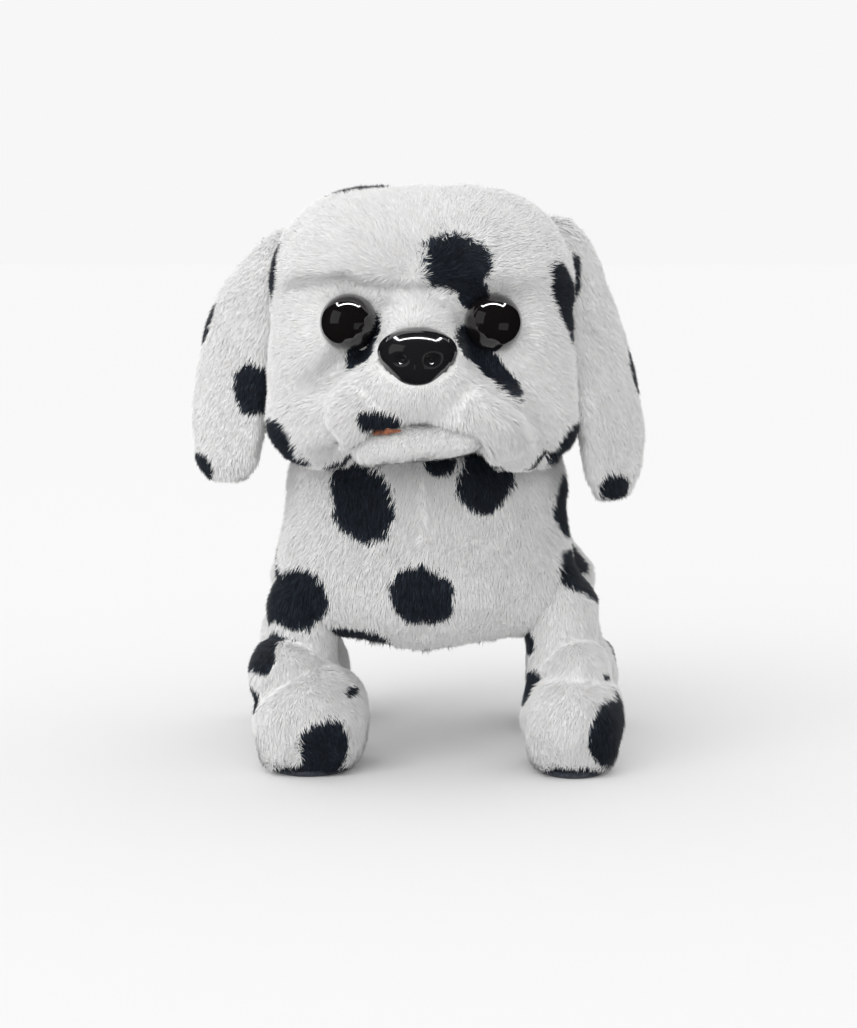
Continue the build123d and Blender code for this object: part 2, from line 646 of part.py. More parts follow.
with BuildPart() as jaw_plush:
    with BuildSketch(Plane.XY.offset(jaw_plate_low - 6.6)):
        with Locations((0, -72)):
            RectangleRounded(2 * jaw_half_x, 30, 13)
    extrude(amount=6.6)
    fillet(jaw_plush.edges().sort_by(Axis.Z)[0], radius=5.0)
save(jaw_plush, "jaw_plush")

with BuildPart() as tongue:
    with BuildSketch(Plane.XY.offset(jaw_plate_high)):
        with Locations((0, -71)):
            RectangleRounded(24, 21, 9)
    extrude(amount=1.6)
    fillet(tongue.edges().sort_by(Axis.Z)[-1], radius=0.8)
save(tongue, "tongue")

# ---- ears: stuffed flaps that hang from the sides of the head ----------------
ear_turn = 50.0
# (z, middle x, middle y, half width, half thickness)
ear_sections = [
    (160, 42.5, -36, 6.0, 3.0),
    (157, 44.5, -36, 9.0, 4.0),
    (148, 51.5, -37, 12.0, 4.5),
    (134, 56.5, -38, 14.0, 5.0),
    (110, 57.5, -38, 15.5, 5.5),
    (92, 58.0, -38, 13.0, 5.0),
    (84, 58.0, -38, 6.5, 3.0),
]
for side_name, side in (("left", 1), ("right", -1)):
    with BuildPart() as ear:
        for z, x, y, half_width, half_thickness in ear_sections:
            with BuildSketch(Plane.XY.offset(z)):
                with Locations(Location((side * x, y, 0), (0, 0, side * ear_turn))):
                    Ellipse(half_width, half_thickness)
        loft(ruled=True)
    save(ear, f"{side_name}_ear")

# ---- tail --------------------------------------------------------------------
with BuildPart() as tail_pin:
    rod_z(0, tail_y, 76.5, 93.5, 1.5)
save(tail_pin, "tail_pin")

with BuildPart() as tail_core:
    rod_z(0, tail_y, 80.0, 90.0, 3.2)
    with BuildLine():
        FilletPolyline((0, tail_y, tail_z), (0, 72, tail_z), (0, 86, tail_z + 12), radius=8)
    with BuildSketch(Plane.XZ.offset(-tail_y)):
        with Locations((0, tail_z)):
            Circle(1.8)
    sweep()
    rod_z(0, tail_y, 79, 91, 1.5 + running, Mode.SUBTRACT)
save(tail_core, "tail_core")

# (y, z, radius, tilt in degrees) of the round sections from root to tip
tail_sections = [
    (68.5, 85, 6.5, 0),
    (76, 87.5, 8.0, 20),
    (84, 94, 8.0, 40),
    (89.4, 101.4, 6.0, 50),
    (91.9, 105.4, 2.2, 55),
]
with BuildPart() as tail_plush:
    for y, z, radius, tilt in tail_sections:
        facing = (0, cos(radians(tilt)), sin(radians(tilt)))
        with BuildSketch(Plane(origin=(0, y, z), x_dir=(1, 0, 0), z_dir=facing)):
            Circle(radius)
    loft(ruled=True)
    add(tail_core.part, mode=Mode.SUBTRACT)
save(tail_plush, "tail_plush")
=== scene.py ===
"""The looks of the plush puppy: stuffed fur covers, fur, glossy eyes and nose, materials, light and camera.

Shapes are worked out in millimetres in the frame's axes (+Z up, face along -Y) and stored in metres.
Left is the puppy's own left, +X. Lights and camera are in metres.
"""
import json
import math

import bmesh
import bpy
import numpy as np
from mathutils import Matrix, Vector

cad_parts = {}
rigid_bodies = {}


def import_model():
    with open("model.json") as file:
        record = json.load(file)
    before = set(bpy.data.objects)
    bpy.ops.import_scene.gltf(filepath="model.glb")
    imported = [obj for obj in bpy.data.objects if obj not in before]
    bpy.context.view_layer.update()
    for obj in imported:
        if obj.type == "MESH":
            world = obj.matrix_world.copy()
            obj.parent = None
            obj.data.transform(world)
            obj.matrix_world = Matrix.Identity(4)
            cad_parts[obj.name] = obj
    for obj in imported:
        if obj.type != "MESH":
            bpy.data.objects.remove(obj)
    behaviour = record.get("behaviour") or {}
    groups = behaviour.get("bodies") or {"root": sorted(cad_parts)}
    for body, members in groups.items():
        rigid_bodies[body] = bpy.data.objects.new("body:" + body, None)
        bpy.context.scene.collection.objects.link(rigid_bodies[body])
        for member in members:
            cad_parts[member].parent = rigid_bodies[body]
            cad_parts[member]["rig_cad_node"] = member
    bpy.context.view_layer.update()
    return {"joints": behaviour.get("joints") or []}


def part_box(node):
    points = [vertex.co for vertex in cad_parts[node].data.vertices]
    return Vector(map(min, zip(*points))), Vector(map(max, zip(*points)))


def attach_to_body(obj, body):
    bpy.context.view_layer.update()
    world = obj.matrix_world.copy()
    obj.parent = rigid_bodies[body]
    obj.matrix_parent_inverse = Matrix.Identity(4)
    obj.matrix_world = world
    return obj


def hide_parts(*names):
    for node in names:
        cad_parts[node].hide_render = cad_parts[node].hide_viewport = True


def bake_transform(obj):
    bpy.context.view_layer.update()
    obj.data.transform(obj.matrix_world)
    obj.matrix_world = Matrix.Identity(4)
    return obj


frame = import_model()
MM = 0.001


def node_box(name):
    """Lowest and highest corner of a CAD node, in millimetres."""
    low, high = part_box(name)
    return np.array(low) / MM, np.array(high) / MM


def joint_place(name):
    """A point on a joint's axis, in millimetres."""
    return np.array(next(j for j in frame["joints"] if j["name"] == name)["pos_m"]) / MM


# ---- places taken from the frame ---------------------------------------------
SIDES = ("left", "right")
EYE_RADIUS = 8.0
EYE_INSET = {"left": 0.6, "right": 1.6}      # towards the middle, because the sewn face is not quite even
NOSE_DEPTH = 8.7                             # from the front of the nose to its middle

hip_places = {
    f"{end}_{side}": joint_place(f"{end}_{side}_hip") for end in ("front", "rear") for side in SIDES
}
neck = joint_place("head_nod")


def eye_place(side):
    """Middle of the ball that an eye dome is cut from."""
    low, high = node_box(f"{side}_eye")
    across = (low[0] + high[0]) / 2
    across -= math.copysign(EYE_INSET[side], across)
    return np.array([across, low[1] + EYE_RADIUS, (low[2] + high[2]) / 2])


eyes = {side: eye_place(side) for side in SIDES}
nose_low, nose_high = node_box("nose")
nose_place = np.array([0.0, nose_low[1] + NOSE_DEPTH, (nose_low[2] + nose_high[2]) / 2])


# ---- noise -------------------------------------------------------------------
LATTICE = 16        # cells along each side of the noise table, after which it repeats


def lattice_noise(points, size, seed):
    """Smooth noise from -1 to 1 at points, with features about size millimetres across."""
    table = np.random.default_rng(seed).random((LATTICE, LATTICE, LATTICE)) * 2 - 1
    q = points / size
    cell = np.floor(q).astype(int)
    t = q - cell
    t = t * t * (3 - 2 * t)
    total = np.zeros(len(points))
    for dx in (0, 1):
        for dy in (0, 1):
            for dz in (0, 1):
                weight = (
                    (t[:, 0] if dx else 1 - t[:, 0])
                    * (t[:, 1] if dy else 1 - t[:, 1])
                    * (t[:, 2] if dz else 1 - t[:, 2])
                )
                entry = (cell + [dx, dy, dz]) % LATTICE
                total += weight * table[entry[:, 0], entry[:, 1], entry[:, 2]]
    return total


# ---- distance fields that the stuffed shapes are made of ----------------------
def egg(p, centre, radii):
    """Roughly the distance from an ellipsoid's surface; negative inside."""
    q = (p - np.asarray(centre, float)) / np.asarray(radii, float)
    k0 = np.linalg.norm(q, axis=1)
    k1 = np.linalg.norm(q / np.asarray(radii, float), axis=1)
    return k0 * (k0 - 1) / np.maximum(k1, 1e-9)


def soft_box(p, centre, half, radius):
    """Distance from a box of half size half, grown by a rounding radius."""
    q = np.abs(p - np.asarray(centre, float)) - np.asarray(half, float)
    return np.linalg.norm(np.maximum(q, 0), axis=1) + np.minimum(q.max(axis=1), 0) - radius


def limb(p, start, end, radius_start, radius_end):
    """Distance from a round-ended rod whose radius changes from start to end."""
    a, b = np.asarray(start, float), np.asarray(end, float)
    along = np.clip(((p - a) @ (b - a)) / ((b - a) @ (b - a)), 0, 1)
    middle = a + along[:, None] * (b - a)
    return np.linalg.norm(p - middle, axis=1) - (radius_start + (radius_end - radius_start) * along)


def join(a, b, blend):
    """Shapes a and b as one, with a soft valley about blend wide between them."""
    h = np.clip(0.5 + 0.5 * (b - a) / blend, 0, 1)
    return b + (a - b) * h - blend * h * (1 - h)


def carve(a, b, blend):
    """Takes shape b out of shape a."""
    return -join(-a, b, blend)


def both_sides(p):
    """The same points folded onto x >= 0, for shapes that are the same left and right."""
    q = p.copy()
    q[:, 0] = np.abs(q[:, 0])
    return q


def ridge(points, line, width):
    """1 on a polyline, falling smoothly to 0 at width millimetres from it."""
    nearest = np.full(len(points), np.inf)
    for a, b in zip(line[:-1], line[1:]):
        nearest = np.minimum(nearest, limb(points, a, b, 0, 0))
    return np.clip(1 - (nearest / width) ** 2, 0, 1) ** 2


def head_shape(p):
    m = both_sides(p)
    d = soft_box(m, (0, -41.5, 135), (15.5, 7, 6.5), 26.5)
    d = join(d, egg(m, (0, -56, 151), (32, 21, 14)), 10)          # forehead
    d = join(d, egg(m, (27.5, -50, 113), (14.5, 21.5, 18)), 9)    # cheeks
    d = join(d, egg(m, (27.5, -54, 103.5), (15.2, 18, 12.5)), 6)  # lower cheeks
    d = join(d, egg(m, (20, -61, 146), (17, 15.5, 6.5)), 5)       # brows
    d = join(d, egg(m, (0, -71, 131.5), (10.8, 14.4, 7.8)), 2.4)  # bridge between the eyes
    d = join(d, egg(m, (0, -70.5, 118), (20, 20.3, 14.5)), 3.5)   # muzzle behind the nose
    d = join(d, egg(m, (16.5, -67.5, 107), (16.5, 20, 12.5)), 4)  # jowls
    d = join(d, egg(p, neck + [0, 2, 0], (31, 21, 30)), 6)        # neck
    d = carve(d, egg(m, eyes["left"] + [-0.5, -7.5, 0], (9.8, 9.5, 9.8)), 3.0)
    d = carve(d, egg(p, nose_place + [0, 1, 0], (10.0, 8.0, 7.4)), 1.5)
    flat = p * [1, 0, 1]
    mouth = limb(flat, (-11, 0, 94.3), (10.5, 0, 95.4), 8.7, 8.4)
    return carve(d, np.maximum(mouth, np.abs(p[:, 1] + 76) - 26), 2.4)


def body_shape(p):
    m = both_sides(p)
    d = soft_box(p, (0, 10, 72.5), (14, 27, 8), 26)
    d = join(d, egg(p, (0, -27, 73), (36.5, 23, 30)), 12)         # chest
    d = join(d, egg(m, (30, -24, 56), (13.0, 19, 17)), 8)         # shoulders
    d = join(d, egg(m, (29, 38, 57), (13.5, 23, 18)), 8)          # haunches
    d = join(d, egg(p, (0, -28, 87), (36, 24, 17)), 8)            # collar
    d = join(d, egg(p, (0, -12, 60), (38, 38, 21)), 6)            # belly
    d = join(d, egg(p, (0, -28.5, 56), (35, 23.5, 19)), 6)        # breast
    d = carve(d, egg(p, neck + [0, 4, 3], (31, 30, 31)), 3.0)     # room for the neck
    return carve(d, soft_box(p, (0, 2, 38), (17.3, 30.8, 4.6), 1.0), 1.0)   # opening for the battery door


# each leg: x and radius of its upper part, x and half width of its foot
LEGS = {
    "front_right": (-36.0, 9.8, -33.5, 16.4),
    "front_left": (40.3, 10.0, 43.6, 14.2),
    "rear_right": (-41.0, 10.4, -42.5, 15.0),
    "rear_left": (40.5, 10.4, 45.0, 14.0),
}


def leg_shape(name):
    """A leg's distance field, and a point inside that sees its whole surface."""
    side = 1 if name.endswith("left") else -1
    hip = hip_places[name]
    leg_x, leg_radius, foot_x, foot_half = LEGS[name]

    def shape(p):
        shoulder = (leg_x - side * 5, hip[1] + 2, 62)
        middle, ankle = (leg_x, hip[1], 47), (leg_x, hip[1], 22)
        d = limb(p, middle, ankle, leg_radius, leg_radius - 0.8)
        d = join(d, limb(p, shoulder, middle, 6.0, leg_radius), 2.0)
        d = join(d, egg(p, (foot_x, hip[1] - 6, 15.2), (foot_half, 19.5, 16.6)), 2.5)
        d = join(d, soft_box(p, (foot_x, hip[1] - 5, 8.0), (foot_half - 9.5, 8.5, 0.5), 7.5), 3.0)
        flap = (leg_x + side * 3.8, hip[1] - 4.5, 27)
        return join(d, egg(p, flap, (foot_half * 0.68, 12.5, 13.0)), 1.4)

    return shape, np.array([foot_x - side * 1.0, hip[1] - 1, 21.0])


def jaw_shape(p):
    d = limb(p, (-13.2, -80.2, 98.4), (14.2, -80.4, 101.2), 5.0, 3.7)
    d = join(d, egg(p, (0, -69.5, 98.6), (16.0, 13.5, 3.8)), 3.0)
    return carve(d, egg(p, (0, -67.5, 104.5), (11.5, 7.5, 3.8)), 1.0)


# ---- meshes ------------------------------------------------------------------
WRAP_STEPS = 90
WRAP_PACE = 0.75        # share of the distance gone at each step


def sphere_net(subdivisions):
    """Unit directions and triangles of a geodesic ball."""
    ball = bmesh.new()
    bmesh.ops.create_icosphere(ball, subdivisions=subdivisions, radius=1.0)
    directions = np.array([v.co[:] for v in ball.verts])
    faces = np.array([[v.index for v in f.verts] for f in ball.faces])
    ball.free()
    return directions / np.linalg.norm(directions, axis=1)[:, None], faces


def wrap(shape, centre, subdivisions, reach=130.0):
    """Shrinks a geodesic ball onto a shape that every ray from centre leaves once."""
    directions, faces = sphere_net(subdivisions)
    radius = np.full(len(directions), float(reach))
    for _ in range(WRAP_STEPS):
        radius -= WRAP_PACE * shape(centre + radius[:, None] * directions)
        radius = np.clip(radius, 1.0, reach)
    return centre + radius[:, None] * directions, faces


def vertex_normals(points, faces):
    corner = points[faces]
    face_normal = np.cross(corner[:, 1] - corner[:, 0], corner[:, 2] - corner[:, 0])
    normal = np.zeros_like(points)
    for k in range(3):
        np.add.at(normal, faces[:, k], face_normal)
    return normal / np.maximum(np.linalg.norm(normal, axis=1)[:, None], 1e-12)


def pressed(points, faces, depth):
    """The points moved in along their normals by depth millimetres, one depth for each point."""
    return points - vertex_normals(points, faces) * depth[:, None]


def outward(points, faces):
    """The faces, turned over if their normals point into the shape."""
    if ((points - points.mean(axis=0)) * vertex_normals(points, faces)).sum() < 0:
        return faces[:, ::-1]
    return faces


def ring_net(rings, around):
    """Triangles of a closed skin whose points are one end, then rings of points, then the other end."""
    faces = []
    for row in range(rings - 1):
        a = 1 + row * around
        for k in range(around):
            n = (k + 1) % around
            faces += [(a + k, a + n, a + around + n), (a + k, a + around + n, a + around + k)]
    end = 1 + rings * around
    base = end - around
    for k in range(around):
        n = (k + 1) % around
        faces += [(0, 1 + n, 1 + k), (end, base + k, base + n)]
    return np.array(faces)


def loft(sections, around=64):
    """A closed skin through oval sections: (centre, wide axis, half width, thin axis, half thickness)."""
    angle = np.linspace(0, 2 * math.pi, around, endpoint=False)
    rings = [
        centre + np.outer(np.cos(angle) * half_width, wide) + np.outer(np.sin(angle) * half_thin, thin)
        for centre, wide, half_width, thin, half_thin in sections
    ]
    points = np.vstack([sections[0][0][None], *rings, sections[-1][0][None]])
    return points, outward(points, ring_net(len(rings), around))


def mesh_object(name, points, faces, normals=None):
    """A smooth mesh object from points in millimetres and triangles, shaded by normals if they are given."""
    mesh = bpy.data.meshes.new(name)
    faces = np.ascontiguousarray(faces, np.int32)
    mesh.vertices.add(len(points))
    mesh.vertices.foreach_set("co", (np.asarray(points) * MM).astype(np.float32).ravel())
    mesh.loops.add(faces.size)
    mesh.loops.foreach_set("vertex_index", faces.ravel())
    mesh.polygons.add(len(faces))
    mesh.polygons.foreach_set("loop_start", np.arange(0, faces.size, 3, dtype=np.int32))
    mesh.polygons.foreach_set("loop_total", np.full(len(faces), 3, np.int32))
    mesh.update(calc_edges=True)
    mesh.polygons.foreach_set("use_smooth", np.full(len(faces), True))
    if normals is not None:
        attribute = mesh.attributes.new("custom_normal", "FLOAT_VECTOR", "POINT")
        attribute.data.foreach_set("vector", np.asarray(normals, np.float32).ravel())
        mesh.update()
    piece = bpy.data.objects.new(name, mesh)
    bpy.context.scene.collection.objects.link(piece)
    return piece


# ---- spots -------------------------------------------------------------------
SPOT_POWER = 2.4        # 2 makes ellipses, more makes them squarer
SPOT_FACING = 0.12      # least cosine between the cloth and the view that prints on it
SPOT_RAGS = ((0.11, 5.0, 11), (0.06, 1.7, 12))      # how the edges wander: amount, size, seed
# each view: the axes a and b of its spots, and the direction that faces it
VIEWS = {
    "front": ((0, 2), (0, -1, 0)),
    "back": ((0, 2), (0, 1, 0)),
    "left": ((1, 2), (1, 0, 0)),
    "right": ((1, 2), (-1, 0, 0)),
    "top": ((0, 1), (0, 0, 1)),
    "under": ((0, 1), (0, 0, -1)),
}


def spotted(points, normals, spots):
    """How far inside the nearest spot each point is, above 0 inside; a spot is drawn on what faces its view.

    A spot is (view, a, b, half_a, half_b, slant): an oval printed straight onto the cloth from that view.
    """
    ragged = sum(amount * lattice_noise(points, size, seed) for amount, size, seed in SPOT_RAGS)
    best = np.full(len(points), -1.0)
    for view, a, b, half_a, half_b, slant in spots:
        (first, second), facing = VIEWS[view]
        turn = math.radians(slant)
        u, v = points[:, first] - a, points[:, second] - b
        along = (u * math.cos(turn) + v * math.sin(turn)) / half_a
        across = (-u * math.sin(turn) + v * math.cos(turn)) / half_b
        inside = 1 - (np.abs(along) ** SPOT_POWER + np.abs(across) ** SPOT_POWER) ** (1 / SPOT_POWER) + ragged
        inside[normals @ np.array(facing, float) < SPOT_FACING] = -1
        best = np.maximum(best, inside)
    return best


HEAD_SPOTS = [
    ("front", 9.4, 147.2, 9.2, 8.0, 0), ("front", 14.0, 140.5, 6.0, 4.5, -40),      # forehead
    ("front", 18.9, 121.0, 11.5, 3.4, -50), ("front", 14.5, 127.5, 4.5, 3.6, -40),   # beside the nose
    ("front", -15.0, 127.5, 4.2, 8.0, -18),                                          # inner corner of an eye
    ("front", -9.8, 106.3, 5.9, 3.3, -8),                                            # upper lip
    ("right", -52, 147, 11, 8.5, 25), ("right", -60, 99, 8, 6.8, -20), ("front", -39.5, 98.5, 4.8, 6.8, 10),
    # the narrow front spot at x 39.5 is painted shade in the fold between the head and the left ear
    ("left", -60, 138, 12.5, 4.6, -58), ("left", -56, 98, 9.5, 3.4, 55), ("front", 39.5, 139, 3.8, 10.5, 22),
    ("front", 40.5, 98.5, 2.8, 8.5, -32),
    ("top", -18, -46, 9.5, 10, 20), ("top", 20, -22, 9, 8, 0), ("top", -6, -16, 6, 6, 0),
    ("back", 14, 142, 9, 10, 15), ("back", -19, 124, 10, 9, -20), ("back", 22, 112, 7, 6, 0),
    ("back", -4, 104, 6, 7, 0), ("left", -22, 118, 8, 8, 0), ("right", -24, 120, 7, 9, 0),
]
BODY_SPOTS = [
    ("front", -17.0, 81.0, 9.0, 12.0, 12), ("front", 5.0, 92.5, 4.8, 3.6, 0),
    ("front", 18.0, 87.5, 7.6, 9.4, -28), ("front", 0.3, 54.5, 9.2, 9.0, 0),
    ("front", -36.5, 51.5, 8.8, 9.4, 0), ("right", -32, 51.5, 8, 9, 0), ("front", -19.5, 40.2, 9.8, 3.6, -8),
    ("left", -27, 78, 8, 9.5, 0), ("left", -30, 58, 8, 8.5, 0), ("left", 30, 57, 9, 8, 0),
    ("left", 8, 90, 10, 8, 20), ("left", 12, 62, 8, 9, -15), ("left", 42, 82, 8, 9, 0),
    ("left", -8, 50, 7, 6, 0), ("right", -18, 80, 8, 9, 0), ("right", 8, 68, 10, 9, 10),
    ("right", 33, 90, 9, 8, 0), ("right", 40, 60, 9, 8, 0), ("right", 8, 46, 7, 5, 0),
    ("right", -22, 60, 6, 6, 0), ("top", 4, 14, 10, 12, 20), ("top", -19, 40, 9, 8, 0),
    ("top", 21, 34, 7, 8, 0), ("top", -20, 6, 7, 8, 0), ("back", -16, 74, 8, 9, 0),
    ("back", 17, 62, 9, 8, 0), ("back", 20, 88, 7, 6, 0), ("back", -6, 54, 6, 6, 0),
]
LEG_SPOTS = {
    "front_right": [
        ("front", -36.5, 51.5, 8.8, 9.4, 0), ("right", -32, 51.5, 8, 9, 0),
        ("front", -46.8, 35.5, 4.0, 5.6, 0), ("right", -35, 35, 6, 6, 0), ("right", -37, 22, 6, 4.5, 0),
        # the wide, thin spot at height 2.2 is partly the spot above carried under the foot and partly painted
        # contact shadow
        ("front", -28.0, 9.8, 7.2, 9.0, 0), ("front", -33.0, 2.2, 11.0, 2.6, 0),
        ("front", -21.9, 24.6, 1.4, 1.1, 0), ("back", -36, 16, 7, 8, 0),
    ],
    "front_left": [
        ("right", -31, 39, 5, 4.5, 0), ("right", -35, 25, 5.5, 5.5, 0), ("front", 54.8, 13.8, 6.4, 10.5, 0),
        # the wide, thin spot at height 2.2 is painted contact shadow along the bottom of the foot
        ("front", 43.5, 2.2, 9.0, 2.4, 0), ("front", 52.6, 29.6, 1.0, 1.0, 0), ("left", -30, 58, 8, 8.5, 0),
        ("back", 42, 18, 6, 7, 0),
    ],
    "rear_right": [
        ("right", 46, 30, 7, 8, 0), ("right", 33, 12, 7, 6, 0),
        ("back", -38, 18, 7, 8, 0), ("front", -44, 10, 6, 7, 0),
    ],
    "rear_left": [
        ("left", 30, 57, 9, 8, 0), ("left", 45, 24, 8, 8, 0),
        ("back", 42, 36, 6, 6, 0), ("back", 47, 11, 7, 6, 0), ("left", 27, 10, 6, 5, 0),
    ],
}
EAR_SPOTS = {
    "right": [
        ("front", -47.5, 113.5, 6.4, 7.6, 8), ("front", -65.0, 90.5, 3.8, 4.4, 30),
        ("right", -27, 132, 6, 7, 0), ("back", -57, 118, 6, 8, 0), ("back", -52, 96, 5, 6, 0),
        ("back", -50, 142, 5, 6, 0),
    ],
    "left": [
        # the narrow front spot at x 42.4 is painted shade in the fold between this ear and the head
        ("front", 42.4, 146.0, 1.9, 6.0, 0), ("front", 54.8, 85.0, 4.6, 4.2, 0), ("left", -28, 118, 5, 7, 0),
        ("back", 52, 100, 6, 7, 0), ("back", 48, 134, 6, 7, 0),
    ],
}
TAIL_SPOTS = [("top", 0, 90, 5, 5, 0), ("left", 78, 88, 5, 5, 0), ("right", 85, 97, 4, 4, 0)]


# ---- materials ---------------------------------------------------------------
NOISE, VORONOI = "ShaderNodeTexNoise", "ShaderNodeTexVoronoi"
TONE_LOW, TONE_HIGH = 0.35, 0.65        # where a mottle's dark colour ends and its light one begins


def material(name, colour, roughness, **sockets):
    """A Principled material; sockets are its other inputs by name, with spaces written as underscores."""
    made = bpy.data.materials.new(name)
    made.use_nodes = True
    shader = made.node_tree.nodes["Principled BSDF"]
    shader.inputs["Base Color"].default_value = (*colour, 1)
    shader.inputs["Roughness"].default_value = roughness
    for socket, value in sockets.items():
        shader.inputs[socket.replace("_", " ")].default_value = value
    return made


def texture(made, kind, scale):
    """A texture node laid over a material in object space; scale is per metre."""
    nodes = made.node_tree.nodes
    place, grain = nodes.new("ShaderNodeTexCoord"), nodes.new(kind)
    grain.inputs["Scale"].default_value = scale
    made.node_tree.links.new(place.outputs["Object"], grain.inputs["Vector"])
    return grain


def add_bump(made, kind, scale, depth, strength):
    """Fine relief on a material from a texture; depth is in metres."""
    nodes, links = made.node_tree.nodes, made.node_tree.links
    grain = texture(made, kind, scale)
    relief = nodes.new("ShaderNodeBump")
    relief.inputs["Strength"].default_value = strength
    relief.inputs["Distance"].default_value = depth
    links.new(grain.outputs[0], relief.inputs["Height"])
    links.new(relief.outputs["Normal"], nodes["Principled BSDF"].inputs["Normal"])


def colour_ramp(made, grain, dark, light):
    """A ramp from one colour to another over a texture's value."""
    ramp = made.node_tree.nodes.new("ShaderNodeValToRGB")
    ramp.color_ramp.elements[0].color = (*dark, 1)
    ramp.color_ramp.elements[1].color = (*light, 1)
    made.node_tree.links.new(grain.outputs[0], ramp.inputs["Fac"])
    return ramp


def two_tone(made, kind, scale, dark, light):
    """Mottles a material's colour between two colours with a texture."""
    ramp = colour_ramp(made, texture(made, kind, scale), dark, light)
    ramp.color_ramp.elements[0].position = TONE_LOW
    ramp.color_ramp.elements[1].position = TONE_HIGH
    shader = made.node_tree.nodes["Principled BSDF"]
    made.node_tree.links.new(ramp.outputs["Color"], shader.inputs["Base Color"])


def uneven_gloss(made, scale, low, high, socket="Roughness"):
    """Lets a material's roughness, or another of its inputs, wander between two values."""
    nodes, links = made.node_tree.nodes, made.node_tree.links
    cloud = texture(made, NOISE, scale)
    span = nodes.new("ShaderNodeMapRange")
    span.inputs["To Min"].default_value = low
    span.inputs["To Max"].default_value = high
    links.new(cloud.outputs[0], span.inputs["Value"])
    links.new(span.outputs["Result"], nodes["Principled BSDF"].inputs[socket])


# a strand has one of these tones; in the spots, the last dark ones lie nearer the edge
FUR_WHITES = [(0.89, 0.89, 0.882), (0.80, 0.805, 0.805), (0.85, 0.845, 0.83), (0.94, 0.94, 0.935)]
FUR_DARKS = [(0.010, 0.013, 0.019), (0.016, 0.022, 0.033), (0.030, 0.040, 0.058), (0.10, 0.13, 0.17)]
fur_white = [
    material(f"fur_white_{k}", c, 0.85, Specular_IOR_Level=0.2, Sheen_Weight=0.25, Sheen_Roughness=0.5)
    for k, c in enumerate(FUR_WHITES)
]
fur_dark = [
    material(f"fur_dark_{k}", c, 0.7, Specular_IOR_Level=0.25, Sheen_Weight=0.15, Sheen_Roughness=0.4)
    for k, c in enumerate(FUR_DARKS)
]
for pile in fur_white + fur_dark:
    uneven_gloss(pile, 140, 0.0, 0.35, "Diffuse Roughness")

FACTOR, COLOUR_A, COLOUR_B, MIXED = 0, 6, 7, 2      # a colour Mix node's inputs, and its output


def backing_material():
    """The knitted backing the pile grows from: white or navy by the spot attribute, mottled."""
    made = material("plush_backing", (0.8, 0.8, 0.8), 0.9, Specular_IOR_Level=0.15)
    nodes, links = made.node_tree.nodes, made.node_tree.links
    spot = nodes.new("ShaderNodeAttribute")
    spot.attribute_name = "spot"
    grain = texture(made, NOISE, 900)
    grain.inputs["Detail"].default_value = 4
    white = colour_ramp(made, grain, (0.58, 0.58, 0.57), (0.78, 0.78, 0.77))
    mix = nodes.new("ShaderNodeMix")
    mix.data_type = "RGBA"
    mix.inputs[COLOUR_B].default_value = (0.012, 0.016, 0.024, 1)
    links.new(spot.outputs["Fac"], mix.inputs[FACTOR])
    links.new(white.outputs["Color"], mix.inputs[COLOUR_A])
    links.new(mix.outputs[MIXED], nodes["Principled BSDF"].inputs["Base Color"])
    return made


backing = backing_material()


# ---- fur ---------------------------------------------------------------------
STRAND_LIMIT = 49000    # strands in one piece
PILE = 3.1              # length of the pile
STRAND_WIDTH = 0.40
CLUMPS = ((11.0, 0.30, 21), (3.2, 0.34, 31))        # how the pile's lie wanders: size, amount, seed
STRAY = 0.16            # how far single strands stray from it
LEAST_RISE, MOST_RISE = 0.08, 1.1                   # a strand's angle from the skin, radians
EDGE = 0.25             # how far into a spot its edge reaches, 1 at the middle
ROOT_DEPTH = 0.3        # how far the roots are under the skin
STRAND_FACES = np.array([(0, 1, 3), (1, 2, 3), (2, 0, 3), (0, 2, 1)])       # corner 3 is the tip


def face_areas(points, faces):
    corner = points[faces]
    return 0.5 * np.linalg.norm(np.cross(corner[:, 1] - corner[:, 0], corner[:, 2] - corner[:, 0]), axis=1)


def sample(points, faces, normals, count, rng):
    """Points spread evenly over a mesh, with the smooth normal at each."""
    running = np.cumsum(face_areas(points, faces))
    steps = (np.arange(count) + rng.random(count)) / count * running[-1]
    chosen = np.minimum(np.searchsorted(running, steps), len(faces) - 1)
    a, b = np.sqrt(rng.random(count)), rng.random(count)
    weight = np.stack([1 - a, a * (1 - b), a * b], axis=1)[:, :, None]
    place = (points[faces[chosen]] * weight).sum(axis=1)
    normal = (normals[faces[chosen]] * weight).sum(axis=1)
    return place, normal / np.linalg.norm(normal, axis=1)[:, None]


